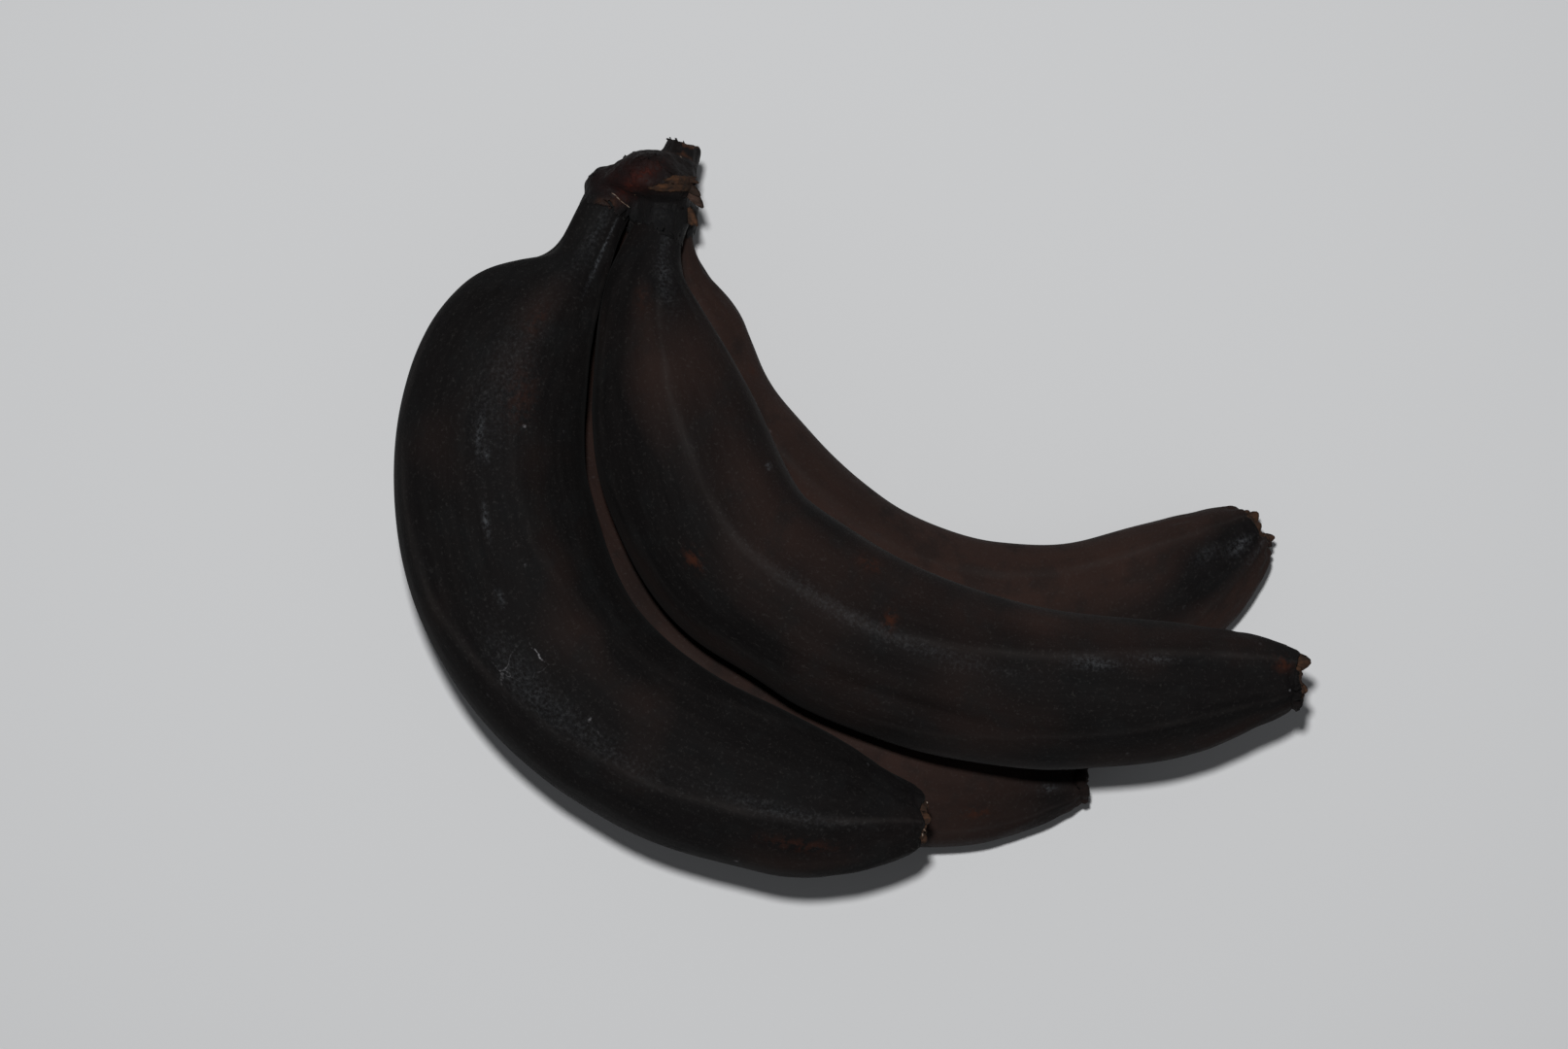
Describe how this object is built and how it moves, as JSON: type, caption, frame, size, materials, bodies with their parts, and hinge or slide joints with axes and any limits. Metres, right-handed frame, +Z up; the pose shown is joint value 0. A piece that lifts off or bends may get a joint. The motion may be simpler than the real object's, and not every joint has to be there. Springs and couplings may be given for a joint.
{
  "type": "bunch of bananas",
  "caption": "Small hand of over-ripe black bananas lying on its side, curved fingers in two layers joined at the necks by a crown, with dried flower ends",
  "frame": {"origin": "under the middle of the bunch, on the surface it lies on", "axes": "+Z up, out of the surface; +X towards the tips of the inner fingers, along the longest extent; +Y towards the crown"},
  "size_m": [0.185, 0.15, 0.0716],
  "materials": {
    "peel": "soft satin, charcoal black with brown mottling",
    "crown_skin": "dry, dark reddish brown, torn",
    "dried_flower": "dry, fibrous, matte"
  },
  "bodies": {
    "root": {"banana_lower_outer": "peel", "banana_lower_inner": "peel", "banana_upper_outer": "peel", "banana_upper_inner": "peel", "crown": "crown_skin", "flower_remnant_lower_outer": "dried_flower", "flower_remnant_lower_inner": "dried_flower", "flower_remnant_upper_outer": "dried_flower", "flower_remnant_upper_inner": "dried_flower"}
  },
  "joints": []
}
